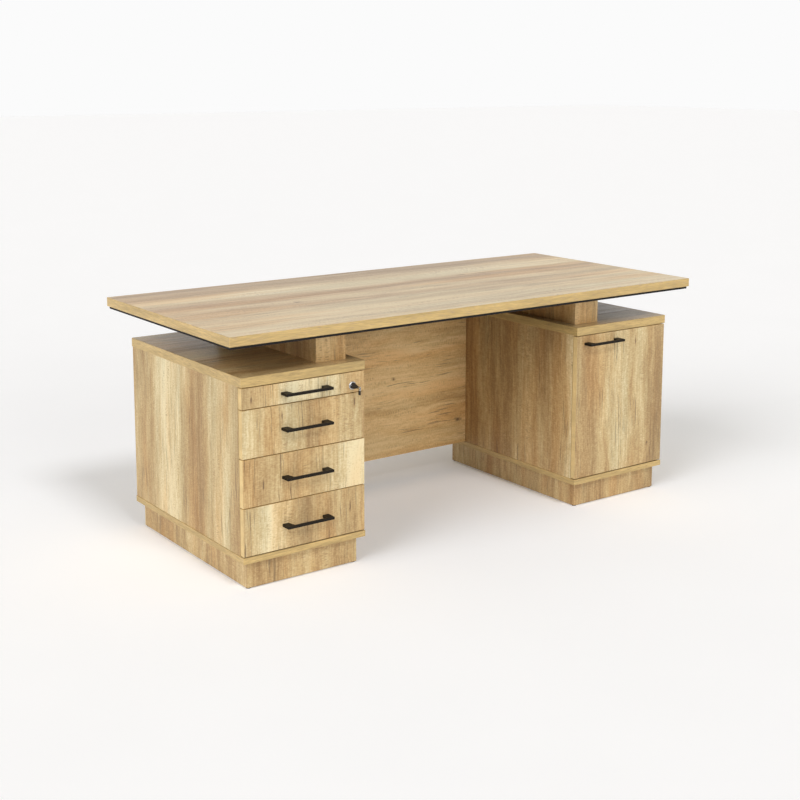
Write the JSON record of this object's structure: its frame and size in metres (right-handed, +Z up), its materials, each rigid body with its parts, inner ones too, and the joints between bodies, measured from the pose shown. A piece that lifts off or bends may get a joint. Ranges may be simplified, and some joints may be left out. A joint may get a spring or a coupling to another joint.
{
  "type": "teacher desk",
  "caption": "Double-pedestal teacher desk with a floating desktop on risers, a bank of sliding drawers with a lock, a cupboard with a hinged door and a modesty panel.",
  "frame": {"origin": "on the floor under the middle of the desktop", "axes": "+X along the desk to the right of the person sitting at it, +Y from the drawer side to the visitor's side, +Z up"},
  "size_m": [1.8, 0.8, 0.75],
  "materials": {
    "desktop_oak": "oak-look melamine face, satin, grain along the desk",
    "panel_oak": "oak-look melamine, satin, grain upright",
    "oak_banding": "oak-look edge banding, satin",
    "black_board": "black melamine, matt",
    "drawer_board": "pale melamine, satin",
    "hardboard": "thin coated hardboard",
    "black_metal": "black powder coat, satin",
    "zinc_steel": "zinc-plated steel",
    "lock_chrome": "polished nickel",
    "black_plastic": "moulded plastic, matt black",
    "grey_plastic": "moulded plastic, matt grey"
  },
  "bodies": {
    "root": {"desktop": "desktop_oak", "desktop_edge_band": "oak_banding", "sub_top": "black_board", "left_riser": "panel_oak", "right_riser": "panel_oak", "modesty_panel": "panel_oak", "left_top_slab": "panel_oak", "left_bottom_slab": "panel_oak", "left_outer_side": "panel_oak", "left_inner_side": "panel_oak", "left_back_panel": "panel_oak", "left_plinth": "panel_oak", "right_top_slab": "panel_oak", "right_bottom_slab": "panel_oak", "right_outer_side": "panel_oak", "right_inner_side": "panel_oak", "right_back_panel": "panel_oak", "right_plinth": "panel_oak", "slab_edge_bands": "oak_banding", "cam_fittings": "zinc_steel", "glides": "black_plastic", "cabinet_runners": "zinc_steel", "shelf": "panel_oak", "shelf_pins": "zinc_steel", "magnet_catch": "grey_plastic", "hinge_bushes": "grey_plastic", "lock_strike": "zinc_steel"},
    "drawer_1": {"drawer_1_front": "panel_oak", "drawer_1_walls": "drawer_board", "drawer_1_bottom": "hardboard", "drawer_1_handle": "black_metal", "drawer_1_runners": "zinc_steel", "lock_barrel": "lock_chrome"},
    "runner_1": {"middle_runners_1": "zinc_steel"},
    "drawer_2": {"drawer_2_front": "panel_oak", "drawer_2_walls": "drawer_board", "drawer_2_bottom": "hardboard", "drawer_2_handle": "black_metal", "drawer_2_runners": "zinc_steel"},
    "runner_2": {"middle_runners_2": "zinc_steel"},
    "drawer_3": {"drawer_3_front": "panel_oak", "drawer_3_walls": "drawer_board", "drawer_3_bottom": "hardboard", "drawer_3_handle": "black_metal", "drawer_3_runners": "zinc_steel"},
    "runner_3": {"middle_runners_3": "zinc_steel"},
    "drawer_4": {"drawer_4_front": "panel_oak", "drawer_4_walls": "drawer_board", "drawer_4_bottom": "hardboard", "drawer_4_handle": "black_metal", "drawer_4_runners": "zinc_steel"},
    "runner_4": {"middle_runners_4": "zinc_steel"},
    "lock": {"lock_plug": "lock_chrome", "lock_cam": "zinc_steel", "key": "black_plastic"},
    "key_head": {"key_head": "black_plastic"},
    "door": {"door": "panel_oak", "door_handle": "black_metal", "door_pivots": "zinc_steel", "catch_plate": "zinc_steel"}
  },
  "joints": [
    {"name": "drawer_1_slide", "type": "slide", "parent": "root", "child": "drawer_1", "axis": [0, -1, 0], "range_m": [0, 0.46]},
    {"name": "runner_1_slide", "type": "slide", "parent": "root", "child": "runner_1", "axis": [0, -1, 0], "range_m": [0, 0.23]},
    {"name": "drawer_2_slide", "type": "slide", "parent": "root", "child": "drawer_2", "axis": [0, -1, 0], "range_m": [0, 0.46]},
    {"name": "runner_2_slide", "type": "slide", "parent": "root", "child": "runner_2", "axis": [0, -1, 0], "range_m": [0, 0.23]},
    {"name": "drawer_3_slide", "type": "slide", "parent": "root", "child": "drawer_3", "axis": [0, -1, 0], "range_m": [0, 0.46]},
    {"name": "runner_3_slide", "type": "slide", "parent": "root", "child": "runner_3", "axis": [0, -1, 0], "range_m": [0, 0.23]},
    {"name": "drawer_4_slide", "type": "slide", "parent": "root", "child": "drawer_4", "axis": [0, -1, 0], "range_m": [0, 0.46]},
    {"name": "runner_4_slide", "type": "slide", "parent": "root", "child": "runner_4", "axis": [0, -1, 0], "range_m": [0, 0.23]},
    {"name": "lock_turn", "type": "hinge", "parent": "drawer_1", "child": "lock", "pos_m": [-0.4685, -0.348, 0.549], "axis": [0, 1, 0], "range_deg": [0, 90]},
    {"name": "key_head_swing", "type": "hinge", "parent": "lock", "child": "key_head", "pos_m": [-0.4685, -0.3854, 0.549], "axis": [-1, 0, 0], "range_deg": [-5, 90]},
    {"name": "door_swing", "type": "hinge", "parent": "root", "child": "door", "pos_m": [0.832, -0.342, 0.346], "axis": [0, 0, 1], "range_deg": [0, 105]}
  ],
  "couplings": [
    {"joint": "runner_1_slide", "follows": "drawer_1_slide", "ratio": 0.5},
    {"joint": "runner_2_slide", "follows": "drawer_2_slide", "ratio": 0.5},
    {"joint": "runner_3_slide", "follows": "drawer_3_slide", "ratio": 0.5},
    {"joint": "runner_4_slide", "follows": "drawer_4_slide", "ratio": 0.5}
  ]
}
